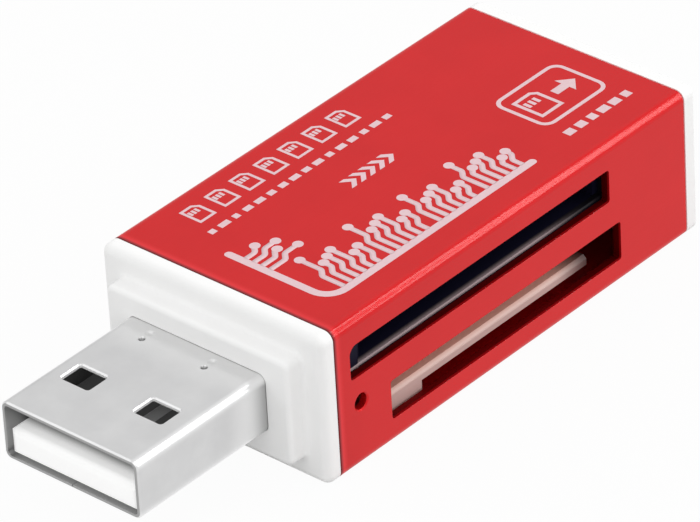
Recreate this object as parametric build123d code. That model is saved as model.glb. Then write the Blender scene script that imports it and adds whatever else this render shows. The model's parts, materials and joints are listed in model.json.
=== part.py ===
from build123d import *
import os

# A pocket memory card reader: an aluminium sleeve closed by two moulded caps, a folded steel plug
# at its front, and four card sockets on one circuit board inside.
# X runs along the reader with the plug towards -X, the two wide card slots look towards -Y, and Z is up.
# The origin is under the middle of the reader, on the surface it lies on. Sizes are in millimetres.

# Sleeve
sleeve_width = 19.4
sleeve_height = 11.6
sleeve_wall = 0.6
sleeve_edge_radius = 0.7
sleeve_inner_radius = 0.3
sleeve_end_bevel = 0.12
upper_rear_bay = 8.3        # sleeve behind the upper slot, for the controller on the board
lower_rear_bay = 7.25       # sleeve behind the lower slot, for the crystal under the board

# Card slots on the near side: along the sleeve from its front end, and up from its mid-height
upper_slot_start = 1.6
upper_slot_length = 26.5
upper_slot_low = 1.32
upper_slot_height = 2.4
upper_slot_corner = 0.6
lower_slot_start = 5.4
lower_slot_length = 23.75
lower_slot_low = -3.8
lower_slot_height = 2.85
slot_corner = 0.15
slot_bevel = 0.1

# Lamp
lamp_hole = 1.2
lamp_place = 2.4
lamp_length = 1.6
lamp_depth = 0.8
lamp_height = 0.6
lamp_edge_gap = 0.2         # lens to the board's long edge

# Plug
plug_width = 12.0
plug_height = 4.5
plug_reach = 15.0           # tip ahead of the sleeve's front end
plug_inside = 2.6           # shell behind the sleeve's front end
plug_rise = 0.2             # plug's middle above the sleeve's middle
plug_steel = 0.3
plug_corner = 0.58
plug_lip = 0.12
window_length = 1.95
window_width = 2.45
window_corner = 0.15
window_bevel = 0.1
window_from_tip = 5.2
window_spread = 6.4         # between the middles of the two windows of a face
window_shift = 0.18         # middle of the pair off the plug's middle, to the far side
punch_from_tip = 10.7
punch_spread = 5.5
punch_shift = 0.6
punch_radius = 0.26
punch_tip = 0.12
punch_depth = 0.25
heel_behind_punch = 0.8
heel_radius = 0.34
heel_tip = 0.08
heel_depth = 0.06
seam_gap = 0.05
seam_lock_place = 9.5
seam_lock_length = 1.6
seam_lock_width = 1.1
seam_lock_flare = 0.3
wing_width = 1.1
wing_length = 1.5

# Plug insulator and contacts
tongue_thickness = 2.0
tongue_recess = 0.25
tongue_fit = 0.05
tongue_floor_gap = 0.12      # under the tongue, ahead of the core
tongue_top_radius = 0.4      # its two upper edges, seen from the front
tongue_nose_radius = 0.5     # its two front corners, seen from above
tongue_nose_round = 0.5      # its upper front edge
tongue_nose_bevel = 0.15     # its lower front edge
plug_mouth_depth = 9.0
contact_width = 1.0
contact_sheet = 0.25
contact_inner_spread = 2.0
contact_outer_spread = 7.0
power_contact_recess = 2.4
data_contact_recess = 3.4
contact_foot = 1.7

# Caps
cap_flange = 1.2
cap_flange_round = 0.68
boss_height = 1.5
boss_inset = 1.75
boss_corner = 0.55
boss_round = 0.35
boss_crease = 0.35
plug_gap = 0.03
rear_flange = 1.1
rear_flange_round = 0.25
cap_fit = 0.05
cap_tab_length = 2.3
cap_tab_width = 13.0
cap_tab_thickness = 0.9
cap_tab_bevel = 0.3
clip_length = 1.6
clip_width = 1.4
clip_jaw = 0.8
clip_from_edge = 0.5

# Circuit board
board_thickness = 0.8
board_side_gap = 0.25
board_front_gap = 0.4
board_rear_gap = 0.4
board_notch_gap = 0.15

# Card sockets
socket_wall = 0.6
socket_rear_wall = 0.7
socket_divide = 1.2         # Y between the near and the far sockets
solder_lane = 1.6           # between the backs of the near and the far sockets
socket_steel = 0.2
mouth_bevel = 0.25
upper_card_lead_gap = 2.1   # slot ahead of the card channel
upper_card_end_gap = 0.2    # slot behind it
upper_floor_rise = 0.13     # channel's floor above the slot's lower edge
upper_mouth_gap = 0.15
upper_strip = 0.5
upper_strip_bevel = 0.08
upper_ear_overlap = 0.25    # ear past the slot's front end
upper_ear_gap = 0.05
upper_ear_depth = 1.5
lower_card_lead_gap = 0.2
lower_card_end_gap = 3.25
lower_floor_rise = 1.3
lower_floor = 0.75
lower_sill = 0.25
lower_mouth_gap = 0.22
lower_wall_setback = 1.6    # side walls behind the floor's front edge
lower_foot_length = 3.85    # foot under the floor, from the slot's front end
lower_foot_depth = 3.0
lower_foot_gap = 0.05
micro_card_width = 11.2
micro_card_height = 0.85
micro_sill = 0.4
mini_card_width = 12.7
mini_card_height = 1.35
mini_sill = 0.4
far_mouth_gap = 0.25
far_slot_margin = 0.2
upper_contact_count = 9
upper_contact_pitch = 2.5
lower_contact_count = 10
lower_contact_pitch = 1.75
micro_contact_count = 8
micro_contact_pitch = 1.1
mini_contact_count = 11
mini_contact_pitch = 1.0
spring_width = 0.6
spring_sheet = 0.15
spring_gap = 0.05
spring_foot = 0.6
spring_flat = 0.5
spring_rise = 2.0
spring_lift = 0.4
spring_dip = 0.8
spring_drop = 0.25

# Parts on the board
chip_length = 9.9
chip_width = 3.9
chip_height = 1.4
chip_standoff = 0.1
chip_bevel = 0.2
chip_from_rear = 4.0        # its middle before the sleeve's rear end
chip_dot = 0.9
chip_dot_depth = 0.08
lead_count = 14             # on each long side
lead_pitch = 0.635
lead_width = 0.25
lead_sheet = 0.2
lead_span = 6.0
lead_foot = 0.5
lead_shoulder = 0.4
crystal_length = 10.6
crystal_width = 4.4
crystal_height = 2.6
crystal_rim = 0.25
crystal_rim_height = 0.4
crystal_bevel = 0.3
passive_length = 1.6
passive_width = 0.8
passive_end = 0.35
passive_end_step = 0.03
capacitor_height = 0.8
resistor_height = 0.5
passive_from_edge = 1.9
passive_spacing = 2.4

# Places worked out from the sizes above
sleeve_length = max(
    upper_slot_start + upper_slot_length + upper_rear_bay,
    lower_slot_start + lower_slot_length + lower_rear_bay)
total_length = plug_reach + sleeve_length + rear_flange
sleeve_front = plug_reach - total_length / 2
sleeve_rear = sleeve_front + sleeve_length
mid_height = sleeve_height / 2
inner_half_width = sleeve_width / 2 - sleeve_wall
inner_half_height = sleeve_height / 2 - sleeve_wall
cut_margin = 1.0            # how far a cutter runs past what it cuts

plug_tip = sleeve_front - plug_reach
plug_rear = sleeve_front + plug_inside
plug_middle = mid_height + plug_rise
plug_bottom = plug_middle - plug_height / 2
plug_top = plug_middle + plug_height / 2
shell_inner_radius = max(plug_corner - plug_steel, tongue_fit)
tongue_top = plug_bottom + plug_steel + tongue_thickness

board_top = tongue_top
board_bottom = board_top - board_thickness
board_half_width = inner_half_width - board_side_gap
board_front = sleeve_front + board_front_gap
board_rear = sleeve_rear - board_rear_gap

upper_slot_front = sleeve_front + upper_slot_start
upper_card_front = upper_slot_front + upper_card_lead_gap
upper_card_width = upper_slot_length - upper_card_lead_gap - upper_card_end_gap
upper_ear_front = upper_slot_front - upper_ear_overlap
lower_slot_front = sleeve_front + lower_slot_start
lower_card_front = lower_slot_front + lower_card_lead_gap
lower_card_width = lower_slot_length - lower_card_lead_gap - lower_card_end_gap
lower_card_height = board_bottom - lower_sill - (mid_height + lower_slot_low + lower_floor_rise)
sleeve_centre = (sleeve_front + sleeve_rear) / 2
lamp_middle = board_bottom - lamp_height / 2


def block(x, y, z):
    """A block between pairs of places along the three axes."""
    low, high = zip(*(sorted(pair) for pair in (x, y, z)))
    size = [b - a for a, b in zip(low, high)]
    centre = [(a + b) / 2 for a, b in zip(low, high)]
    return Pos(*centre) * Box(*size)


def section(x, z):
    """A plane across the reader, with Y and Z as its own directions."""
    return Plane(origin=(x, 0, z), x_dir=(0, 1, 0), z_dir=(1, 0, 0))


def wall_plane(side, x, z):
    """A plane on the sleeve's near (-1) or far (+1) face, with X and Z as its own directions."""
    return Plane(origin=(x, side * sleeve_width / 2, z), x_dir=(-side, 0, 0), z_dir=(0, side, 0))


def profile_across(points, middle, width):
    """An outline of (x, z) points, made as thick as width about the plane y = middle."""
    outline = Plane.XZ * make_face(Polyline(*points, close=True))
    return Pos(0, middle, 0) * extrude(outline, amount=width / 2, both=True)


def bevel_holes(shape, axis, size):
    """Bevels the rim of each hole in a shape's lowest and highest faces along an axis."""
    faces = shape.faces().sort_by(axis)
    rims = [edge for face in (faces[0], faces[-1]) for wire in face.inner_wires() for edge in wire.edges()]
    return chamfer(rims, size)


class Socket:
    """Where a card socket stands: its wall of the sleeve, its face of the board and its card channel."""

    def __init__(self, side, face, front, width, sill, height, mouth_gap):
        self.side = side
        self.face = face
        self.front = front
        self.rear = front + width
        self.sill = sill
        self.top = sill + height
        self.mouth = side * (inner_half_width - mouth_gap)
        self.back = socket_divide + side * solder_lane / 2
        self.depth = abs(self.mouth - self.back)
        self.outer_x = (self.front - socket_wall, self.rear + socket_wall)

    def y(self, inward):
        return self.mouth - self.side * inward

    def z(self, away):
        seat = board_top if self.face > 0 else board_bottom
        return seat + self.face * away

    def block(self, x, inward, away):
        return block(x, [self.y(value) for value in inward], [self.z(value) for value in away])


upper_socket = Socket(
    -1, 1, upper_card_front, upper_card_width,
    mid_height + upper_slot_low + upper_floor_rise - board_top,
    upper_slot_height - upper_floor_rise, upper_mouth_gap)
lower_socket = Socket(
    -1, -1, lower_card_front, lower_card_width, lower_sill, lower_card_height, lower_mouth_gap)
micro_socket = Socket(
    1, 1, sleeve_centre - micro_card_width / 2, micro_card_width, micro_sill,
    micro_card_height, far_mouth_gap)
mini_socket = Socket(
    1, -1, sleeve_centre - mini_card_width / 2, mini_card_width, mini_sill,
    mini_card_height, far_mouth_gap)


def near_slot(front, length, low, height, lead_corner):
    """A cutter for a slot in the near wall; its front upper corner has a radius of its own."""
    outline = Rectangle(length, height)
    corners = sorted(outline.vertices(), key=lambda vertex: vertex.X - vertex.Y)
    outline = fillet(corners[1:], slot_corner)
    lead = min(outline.vertices(), key=lambda vertex: vertex.X - vertex.Y)
    outline = fillet(lead, lead_corner)
    plane = wall_plane(-1, front + length / 2, mid_height + low + height / 2)
    return extrude(plane * outline, amount=sleeve_wall + cut_margin / 2, both=True)


def far_slot(socket):
    """A cutter for a slot in the far wall, a margin larger than its socket's channel."""
    length = socket.rear - socket.front + 2 * far_slot_margin
    height = socket.top - socket.sill + 2 * far_slot_margin
    plane = wall_plane(
        1, (socket.front + socket.rear) / 2, (socket.z(socket.sill) + socket.z(socket.top)) / 2)
    outline = plane * RectangleRounded(length, height, slot_corner)
    return extrude(outline, amount=sleeve_wall + cut_margin / 2, both=True)


def make_sleeve():
    ring = RectangleRounded(sleeve_width, sleeve_height, sleeve_edge_radius) - RectangleRounded(
        2 * inner_half_width, 2 * inner_half_height, sleeve_inner_radius)
    sleeve = extrude(section(sleeve_front, mid_height) * ring, amount=sleeve_length)
    ends = sleeve.faces().sort_by(Axis.X)
    rims = [edge for end in (ends[0], ends[-1]) for edge in end.outer_wire().edges()]
    sleeve = chamfer(rims, sleeve_end_bevel)
    sleeve -= near_slot(
        upper_slot_front, upper_slot_length, upper_slot_low, upper_slot_height, upper_slot_corner)
    sleeve -= near_slot(lower_slot_front, lower_slot_length, lower_slot_low, lower_slot_height, slot_corner)
    for socket in (micro_socket, mini_socket):
        sleeve -= far_slot(socket)
    hole = wall_plane(-1, sleeve_front + lamp_place, lamp_middle) * Circle(lamp_hole / 2)
    sleeve -= extrude(hole, amount=sleeve_wall + cut_margin / 2, both=True)
    return bevel_holes(sleeve, Axis.Y, slot_bevel)


def cap_tabs(seat, direction):
    """The two flat tabs that hold a cap in the sleeve, under its top wall and over its bottom wall."""
    tabs = []
    for level in (-1, 1):
        outer = level * (inner_half_height - cap_fit)
        inner = outer - level * cap_tab_thickness
        tab = block(
            (seat, seat + direction * cap_tab_length), (-cap_tab_width / 2, cap_tab_width / 2),
            (mid_height + outer, mid_height + inner))
        tip = tab.faces().sort_by(Axis.X)[-1 if direction > 0 else 0]
        lead_edges = [edge for edge in tip.edges() if abs(edge.center().Z - mid_height - outer) < cap_fit]
        tabs.append(chamfer(lead_edges, cap_tab_bevel))
    return tabs


def make_front_cap():
    outline = RectangleRounded(sleeve_width, sleeve_height, sleeve_edge_radius)
    flange = extrude(section(sleeve_front - cap_flange, mid_height) * outline, amount=cap_flange)
    flange = fillet(flange.faces().sort_by(Axis.X)[0].edges(), cap_flange_round)
    boss_front = sleeve_front - cap_flange - boss_height
    boss_outline = RectangleRounded(
        sleeve_width - 2 * boss_inset, sleeve_height - 2 * boss_inset, boss_corner)
    boss = extrude(section(boss_front, mid_height) * boss_outline, amount=boss_height)
    boss = fillet(boss.faces().sort_by(Axis.X)[0].edges(), boss_round)
    cap = flange + boss
    seat = sleeve_front - cap_flange
    crease = [
        edge for edge in cap.edges()
        if abs(edge.center().X - seat) < boss_crease / 10
        and abs(edge.center().Y) < sleeve_width / 2 - boss_inset / 2
        and abs(edge.center().Z - mid_height) < sleeve_height / 2 - boss_inset / 2]
    cap = fillet(crease, boss_crease)
    for tab in cap_tabs(sleeve_front, 1):
        cap += tab
    opening = RectangleRounded(plug_width + 2 * plug_gap, plug_height + 2 * plug_gap, plug_corner + plug_gap)
    passage = section(boss_front - cut_margin, plug_middle) * opening
    return cap - extrude(passage, amount=cap_flange + boss_height + 2 * cut_margin)


def make_rear_cap():
    outline = RectangleRounded(sleeve_width, sleeve_height, sleeve_edge_radius)
    cap = extrude(section(sleeve_rear, mid_height) * outline, amount=rear_flange)
    cap = fillet(cap.faces().sort_by(Axis.X)[-1].edges(), rear_flange_round)
    for tab in cap_tabs(sleeve_rear, -1):
        cap += tab
    for side in (-1, 1):
        outer = side * (board_half_width - clip_from_edge)
        clip = block(
            (sleeve_rear - clip_length, sleeve_rear), (outer, outer - side * clip_width),
            (board_bottom - clip_jaw, board_top + clip_jaw))
        cap += clip
    groove = block(
        (sleeve_rear - clip_length - cut_margin, board_rear + cap_fit),
        (-inner_half_width, inner_half_width), (board_bottom - cap_fit, board_top + cap_fit))
    return cap - groove


def make_seam():
    """The closed joint of the folded sheet: a fine gap under the plug, with one dovetail that locks it."""
    lock = plug_tip + seam_lock_place
    half = seam_lock_length / 2
    tail = make_face(Polyline(
        (lock - half + seam_lock_flare, 0), (lock - half, seam_lock_width),
        (lock + half, seam_lock_width), (lock + half - seam_lock_flare, 0), close=True))
    neck = seam_lock_length - 2 * seam_lock_flare
    gap = Pos((plug_tip + plug_rear) / 2, 0) * Rectangle(plug_rear - plug_tip + cut_margin, seam_gap)
    gap -= Pos(lock, 0) * Rectangle(neck, 2 * seam_gap)
    gap += offset(tail, seam_gap, kind=Kind.INTERSECTION) - tail - Pos(lock, -seam_gap) * Rectangle(
        neck, 2 * seam_gap)
    return extrude(Pos(0, 0, plug_bottom - cut_margin / 4) * gap, amount=plug_steel + cut_margin / 2)


def dent(radius, tip, depth):
    """A cutter for a round tapered dent, as wide as radius where it meets the surface."""
    return Cone(tip, 2 * radius - tip, 2 * depth)


def make_usb_shell():
    length = plug_rear - plug_tip
    outline = RectangleRounded(plug_width, plug_height, plug_corner)
    shell = extrude(section(plug_tip, plug_middle) * outline, amount=length)
    shell = chamfer(shell.faces().sort_by(Axis.X)[0].edges(), plug_lip)
    hollow = RectangleRounded(plug_width - 2 * plug_steel, plug_height - 2 * plug_steel, shell_inner_radius)
    shell -= extrude(
        section(plug_tip - cut_margin, plug_middle) * hollow, amount=length + 2 * cut_margin)
    for side in (-1, 1):
        across = side * window_spread / 2 + window_shift
        place = Pos(plug_tip + window_from_tip, across, plug_middle)
        window = place * RectangleRounded(window_length, window_width, window_corner)
        shell -= extrude(window, amount=plug_height, both=True)
    shell = bevel_holes(shell, Axis.Z, window_bevel)
    for side in (-1, 1):
        mark = Pos(plug_tip + punch_from_tip, side * punch_spread / 2 + punch_shift, plug_top)
        shell -= mark * dent(punch_radius, punch_tip, punch_depth)
        shell -= mark * Pos(heel_behind_punch, 0, 0) * dent(heel_radius, heel_tip, heel_depth)
        wall = side * (plug_width / 2 - plug_steel)
        shell += block(
            (plug_rear - wing_length, plug_rear), (wall, wall + side * (plug_steel + wing_width)),
            (board_top, board_top + plug_steel))
    return shell - make_seam()


contact_places = {
    "power": -contact_outer_spread / 2,
    "data_minus": -contact_inner_spread / 2,
    "data_plus": contact_inner_spread / 2,
    "ground": contact_outer_spread / 2,
}


def make_usb_tongue():
    """A core that fills the shell's rear, and in front of it a tongue with a rounded nose."""
    nose = plug_tip + tongue_recess
    root = plug_tip + plug_mouth_depth
    width = plug_width - 2 * plug_steel - 2 * tongue_fit
    low = tongue_top - tongue_thickness + tongue_floor_gap
    height = tongue_top - low
    corner = shell_inner_radius + 2 * tongue_fit
    core = RectangleRounded(width, plug_height - 2 * plug_steel, corner)
    body = extrude(section(root, plug_middle) * core, amount=plug_rear - root)
    outline = Rectangle(width, height)
    outline = fillet(outline.vertices().sort_by(Axis.Y)[2:], tongue_top_radius)
    outline = fillet(outline.vertices().sort_by(Axis.Y)[:2], corner)
    tongue = extrude(section(nose, low + height / 2) * outline, amount=root - nose)
    from_above = block((nose, root), (-width / 2, width / 2), (low, tongue_top))
    from_above = fillet(from_above.edges().filter_by(Axis.Z).sort_by(Axis.X)[:2], tongue_nose_radius)
    from_side = block((nose, root), (-width / 2, width / 2), (low, tongue_top))
    front_edges = from_side.faces().sort_by(Axis.X)[0].edges().filter_by(Axis.Y)
    from_side = fillet(front_edges.sort_by(Axis.Z)[-1], tongue_nose_round)
    front_edges = from_side.faces().sort_by(Axis.X)[0].edges().filter_by(Axis.Y)
    from_side = chamfer(front_edges.sort_by(Axis.Z)[0], tongue_nose_bevel)
    body += tongue & from_above & from_side
    for name, across in contact_places.items():
        start = plug_tip + contact_recess(name)
        body -= block(
            (start, plug_rear + cut_margin), (across - contact_width / 2, across + contact_width / 2),
            (tongue_top - contact_sheet, tongue_top))
    return body


def contact_recess(name):
    """The outer pair of contacts reaches further forward, so that power meets before data."""
    return data_contact_recess if name.startswith("data") else power_contact_recess


def make_usb_contact(name):
    """A flat strip in the tongue's groove, bent down behind it and under the board's front edge."""
    start = plug_tip + contact_recess(name)
    riser = plug_rear + contact_sheet
    foot = riser + contact_foot
    low = tongue_top - contact_sheet
    under = board_bottom - contact_sheet
    points = [
        (start, low), (start, tongue_top), (riser, tongue_top), (riser, board_bottom),
        (foot, board_bottom), (foot, under), (plug_rear, under), (plug_rear, low)]
    return profile_across(points, contact_places[name], contact_width)


def make_circuit_board():
    board = block((board_front, board_rear), (-board_half_width, board_half_width), (board_bottom, board_top))
    notch_end = plug_rear + contact_sheet + board_notch_gap
    notch_half = plug_width / 2 + board_notch_gap
    return board - block(
        (board_front - cut_margin, notch_end), (-notch_half, notch_half),
        (board_bottom - cut_margin, board_top + cut_margin))


def spring_places(socket, count, pitch):
    middle = (socket.front + socket.rear) / 2
    return [middle + (index - (count - 1) / 2) * pitch for index in range(count)]


def socket_housing(socket, lid, places):
    """A moulded tray or box: sill against the board, two side walls, a back wall with contact windows."""
    housing = socket.block(socket.outer_x, (0, socket.depth), (0, socket.top + lid))
    channel_end = socket.depth - socket_rear_wall
    channel_top = socket.top if lid else socket.top + cut_margin
    housing -= socket.block(
        (socket.front, socket.rear), (-cut_margin, channel_end), (socket.sill, channel_top))
    for place in places:
        half = spring_width / 2 + spring_gap
        housing -= socket.block(
            (place - half, place + half), (channel_end - spring_gap, socket.depth + cut_margin),
            (socket.sill, socket.sill + spring_sheet + spring_gap))
    return housing


def bevel_mouth(piece, socket, height, size):
    """Bevels a piece's edge along the mouth, at one height, where a card enters."""
    lips = [
        edge for edge in piece.edges().filter_by(Axis.X)
        if abs(edge.center().Y - socket.mouth) < size / 10
        and abs(edge.center().Z - socket.z(height)) < size / 10]
    return chamfer(lips, size)


def socket_cover(socket):
    """A bent steel cover: a top plate and two flanks that stand on the board."""
    low, high = socket.outer_x
    outer = (low - socket_steel, high + socket_steel)
    cover = socket.block(outer, (0, socket.depth), (0, socket.top + socket_steel))
    cover -= socket.block(
        socket.outer_x, (-cut_margin, socket.depth + cut_margin), (-cut_margin, socket.top))
    folds = [
        edge for edge in cover.edges().filter_by(Axis.Y)
        if abs(edge.center().Z - socket.z(socket.top + socket_steel)) < socket_steel / 10]
    return fillet(folds, socket_steel)


def socket_contacts(socket, places):
    """Springs that rest on the sill, pass the back wall and stand on the board with a soldered foot."""
    back = socket.depth
    bend = back - socket_rear_wall - spring_flat
    crest = bend - spring_rise
    tip = crest - spring_dip
    sill = socket.sill
    sheet = spring_sheet
    outline = [
        (back, 0), (back + spring_foot, 0), (back + spring_foot, sheet), (back + sheet, sheet),
        (back + sheet, sill + sheet), (bend, sill + sheet), (crest, sill + sheet + spring_lift),
        (tip, sill + sheet + spring_lift - spring_drop), (tip, sill + spring_lift - spring_drop),
        (crest, sill + spring_lift), (bend, sill), (back, sill)]
    corners = [(0, socket.y(inward), socket.z(away)) for inward, away in outline]
    face = make_face(Polyline(*corners, close=True))
    spring = extrude(face, amount=spring_width / 2, both=True)
    return Compound([solid for place in places for solid in (Pos(place, 0, 0) * spring).solids()])


def make_upper_card_housing():
    places = spring_places(upper_socket, upper_contact_count, upper_contact_pitch)
    housing = socket_housing(upper_socket, 0, places)
    seat = upper_socket.sill - socket_steel
    housing -= upper_socket.block(
        upper_socket.outer_x, (-cut_margin, upper_strip), (seat, upper_socket.top + cut_margin))
    return housing + upper_socket.block(
        (upper_ear_front, upper_socket.outer_x[0]), (upper_ear_gap, upper_ear_depth),
        (upper_socket.sill, upper_socket.top))


def make_upper_card_cover():
    """Its front flank makes room for the housing's ear, and a strip runs along the mouth's floor."""
    low, high = upper_socket.outer_x
    cover = socket_cover(upper_socket) - upper_socket.block(
        (low - 2 * socket_steel, low), (-cut_margin, upper_ear_depth + upper_ear_gap),
        (upper_socket.sill, upper_socket.top))
    cover += upper_socket.block(
        (upper_ear_front, high + socket_steel), (0, upper_strip),
        (upper_socket.sill - socket_steel, upper_socket.sill))
    return bevel_mouth(cover, upper_socket, upper_socket.sill, upper_strip_bevel)


def make_lower_card_housing():
    """A box whose floor stands above the slot's lower edge, on a foot at the slot's front end."""
    places = spring_places(lower_socket, lower_contact_count, lower_contact_pitch)
    housing = socket_housing(lower_socket, lower_floor, places)
    housing -= lower_socket.block(
        lower_socket.outer_x, (-cut_margin, lower_wall_setback), (lower_socket.sill, lower_socket.top))
    housing = bevel_mouth(housing, lower_socket, lower_socket.top, mouth_bevel)
    return housing + lower_socket.block(
        (lower_socket.outer_x[0], lower_slot_front + lower_foot_length), (0, lower_foot_depth),
        (lower_socket.top + lower_floor, board_bottom - sleeve_wall - lower_foot_gap))


def make_micro_card_housing():
    places = spring_places(micro_socket, micro_contact_count, micro_contact_pitch)
    housing = socket_housing(micro_socket, 0, places)
    return bevel_mouth(housing, micro_socket, micro_socket.sill, mouth_bevel)


def make_mini_card_housing():
    places = spring_places(mini_socket, mini_contact_count, mini_contact_pitch)
    housing = socket_housing(mini_socket, 0, places)
    return bevel_mouth(housing, mini_socket, mini_socket.sill, mouth_bevel)


def make_activity_led():
    edge = -board_half_width + lamp_edge_gap
    lens = lamp_depth / 2
    outline = Rectangle(lamp_length, lamp_depth)
    outline += Pos(0, -lens) * Ellipse(lamp_length / 4, lens)
    place = Pos(sleeve_front + lamp_place, edge + 2 * lens, lamp_middle - lamp_height / 2)
    return extrude(place * outline, amount=lamp_height)


chip_middle = sleeve_rear - chip_from_rear


def make_controller_chip():
    low = board_top + chip_standoff
    chip = block(
        (chip_middle - chip_width / 2, chip_middle + chip_width / 2), (-chip_length / 2, chip_length / 2),
        (low, low + chip_height))
    chip = chamfer(chip.faces().sort_by(Axis.Z)[-1].edges(), chip_bevel)
    corner = (chip_middle - chip_width / 2 + chip_dot, -chip_length / 2 + chip_dot, low + chip_height)
    return chip - Pos(*corner) * Cylinder(chip_dot / 2, 2 * chip_dot_depth)


def make_controller_leads():
    rise = chip_standoff + chip_height / 2
    outer = lead_span / 2
    inner = chip_width / 2
    leads = []
    for side in (-1, 1):
        outline = [
            (inner, rise), (inner + lead_shoulder, rise), (outer - lead_foot, 0), (outer, 0),
            (outer, lead_sheet), (outer - lead_foot + lead_sheet / 2, lead_sheet),
            (inner + lead_shoulder + lead_sheet / 2, rise + lead_sheet), (inner, rise + lead_sheet)]
        points = [(chip_middle + side * out, board_top + up) for out, up in outline]
        for index in range(lead_count):
            across = (index - (lead_count - 1) / 2) * lead_pitch
            leads.extend(profile_across(points, across, lead_width).solids())
    return Compound(leads)


def make_crystal_can():
    plane = Plane(origin=(chip_middle, 0, board_bottom), x_dir=(0, 1, 0), z_dir=(0, 0, -1))
    rim = SlotOverall(crystal_length + 2 * crystal_rim, crystal_width + 2 * crystal_rim)
    can = extrude(plane * SlotOverall(crystal_length, crystal_width), amount=crystal_height)
    can = chamfer(can.faces().sort_by(Axis.Z)[0].edges(), crystal_bevel)
    return can + extrude(plane * rim, amount=crystal_rim_height)


def make_passives(face, height):
    """Four small chip components beside the controller, on the board's top (+1) or bottom (-1)."""
    pieces = []
    seat = board_top if face > 0 else board_bottom
    for side in (-1, 1):
        for step in (-0.5, 0.5):
            x = chip_middle + step * passive_spacing
            y = side * (board_half_width - passive_from_edge)
            half = passive_length / 2
            body = block(
                (x - half, x + half), (y - passive_width / 2, y + passive_width / 2),
                (seat, seat + face * height))
            waist = block(
                (x - half + passive_end, x + half - passive_end), (y - passive_width, y + passive_width),
                (seat + face * (height - passive_end_step), seat + face * 2 * height))
            pieces.extend((body - waist).solids())
    return Compound(pieces)


nodes = {
    "sleeve": make_sleeve(),
    "front_cap": make_front_cap(),
    "rear_cap": make_rear_cap(),
    "usb_shell": make_usb_shell(),
    "usb_tongue": make_usb_tongue(),
    "circuit_board": make_circuit_board(),
    "upper_card_housing": make_upper_card_housing(),
    "upper_card_cover": make_upper_card_cover(),
    "upper_card_contacts": socket_contacts(
        upper_socket, spring_places(upper_socket, upper_contact_count, upper_contact_pitch)),
    "lower_card_housing": make_lower_card_housing(),
    "lower_card_contacts": socket_contacts(
        lower_socket, spring_places(lower_socket, lower_contact_count, lower_contact_pitch)),
    "micro_card_housing": make_micro_card_housing(),
    "micro_card_cover": socket_cover(micro_socket),
    "micro_card_contacts": socket_contacts(
        micro_socket, spring_places(micro_socket, micro_contact_count, micro_contact_pitch)),
    "mini_card_housing": make_mini_card_housing(),
    "mini_card_cover": socket_cover(mini_socket),
    "mini_card_contacts": socket_contacts(
        mini_socket, spring_places(mini_socket, mini_contact_count, mini_contact_pitch)),
    "activity_led": make_activity_led(),
    "controller_chip": make_controller_chip(),
    "controller_leads": make_controller_leads(),
    "crystal_can": make_crystal_can(),
    "capacitors": make_passives(1, capacitor_height),
    "resistors": make_passives(-1, resistor_height),
}
for contact in contact_places:
    nodes["usb_contact_" + contact] = make_usb_contact(contact)

os.makedirs("parts", exist_ok=True)
for name, shape in nodes.items():
    export_step(shape, os.path.join("parts", name + ".step"))
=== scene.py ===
# %% [markdown]
# # A pocket memory card reader, finished and lit
# The solids arrive at their true size, each piece in its own place, so nothing here moves or resizes
# them. This lesson gives every piece its finish, prints the top of the sleeve and sets up a small studio.
# Names that end in _mm are in millimetres; Blender itself works in metres.

# %% Load the frame
import json
import math

import bmesh
import bpy
from mathutils import Matrix, Quaternion, Vector

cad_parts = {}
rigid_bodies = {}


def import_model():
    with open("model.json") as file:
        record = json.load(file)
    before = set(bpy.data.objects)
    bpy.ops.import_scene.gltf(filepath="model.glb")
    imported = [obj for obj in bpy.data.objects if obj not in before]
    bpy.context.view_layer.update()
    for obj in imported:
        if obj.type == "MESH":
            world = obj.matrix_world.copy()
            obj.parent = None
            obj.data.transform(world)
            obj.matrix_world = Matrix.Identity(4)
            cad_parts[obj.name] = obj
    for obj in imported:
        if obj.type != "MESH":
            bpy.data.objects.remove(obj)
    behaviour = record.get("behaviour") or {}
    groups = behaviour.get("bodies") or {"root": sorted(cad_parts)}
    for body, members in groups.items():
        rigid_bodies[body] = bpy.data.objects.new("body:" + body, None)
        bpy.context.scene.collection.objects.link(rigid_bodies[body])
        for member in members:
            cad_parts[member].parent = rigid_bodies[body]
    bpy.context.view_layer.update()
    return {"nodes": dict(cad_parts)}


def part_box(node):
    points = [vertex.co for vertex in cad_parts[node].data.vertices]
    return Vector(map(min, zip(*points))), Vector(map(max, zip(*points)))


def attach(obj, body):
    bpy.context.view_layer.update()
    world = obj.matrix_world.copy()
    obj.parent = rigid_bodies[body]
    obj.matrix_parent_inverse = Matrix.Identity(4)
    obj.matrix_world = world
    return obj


for leftover in list(bpy.data.objects):
    bpy.data.objects.remove(leftover)
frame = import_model()
nodes = frame["nodes"]
MM = 0.001
print("pieces in the frame:", len(nodes))

# %% [markdown]
# ## The camera
# The picture was taken from the plug's side, well above the table, with a long lens: the edges hardly
# converge. A camera could be aimed by eye, but its place was worked out from the plug's known size and
# the sleeve's edges. A track quaternion points it, and a small roll about its own axis gives the tilt of
# the picture.

# %% Place the camera
PICTURE_WIDTH = 700
FOCAL_PIXELS = 6534.8
camera_place_mm = Vector((-266.69, -247.79, 246.98))
camera_aim_mm = Vector((1.13, -0.17, 6.89))
camera_roll = math.radians(-3.37)

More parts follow.
